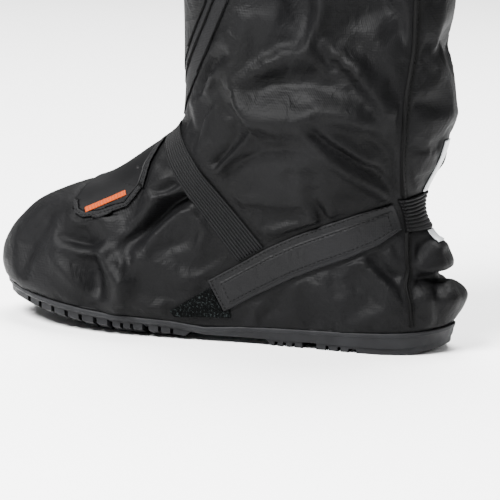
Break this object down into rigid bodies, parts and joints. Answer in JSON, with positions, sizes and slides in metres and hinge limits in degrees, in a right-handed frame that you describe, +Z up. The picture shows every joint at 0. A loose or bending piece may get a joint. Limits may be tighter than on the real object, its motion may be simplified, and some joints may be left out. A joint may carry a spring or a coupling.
{
  "type": "waterproof overshoe",
  "caption": "Loose black nylon boot on a lugged rubber sole, pulled over a shoe and gathered at the ankle by ribbed elastics and a fabric strap",
  "frame": {"origin": "on the floor under the middle of the heel, on the tread's flat rear block", "axes": "+X to the toe, +Y to the outer side of the left foot, +Z up"},
  "size_m": [0.3174, 0.124, 0.3305],
  "materials": {
    "nylon": "coated, softly glossy black",
    "sole_rubber": "matte dark grey",
    "touch_loop": "fuzzy, near black",
    "elastic": "ribbed, matte black",
    "guard_film": "smooth, satin black",
    "binding": "matte black",
    "bright_bar": "satin orange",
    "tape": "light grey reflective tape"
  },
  "bodies": {
    "root": {"upper": "nylon", "outsole": "sole_rubber", "strap": "nylon", "loop_patch": "touch_loop", "instep_elastic": "elastic", "ankle_elastic": "elastic", "toe_guard": "guard_film", "toe_guard_binding": "binding", "toe_bar": "bright_bar", "flap_facing": "binding", "flap_binding": "binding", "front_flap": "nylon", "seam_outer_heel": "binding", "seam_outer_shaft": "binding", "seam_inner_heel": "binding", "seam_inner_shaft": "binding", "back_tape_low": "tape", "back_tape_high": "tape"}
  },
  "joints": []
}
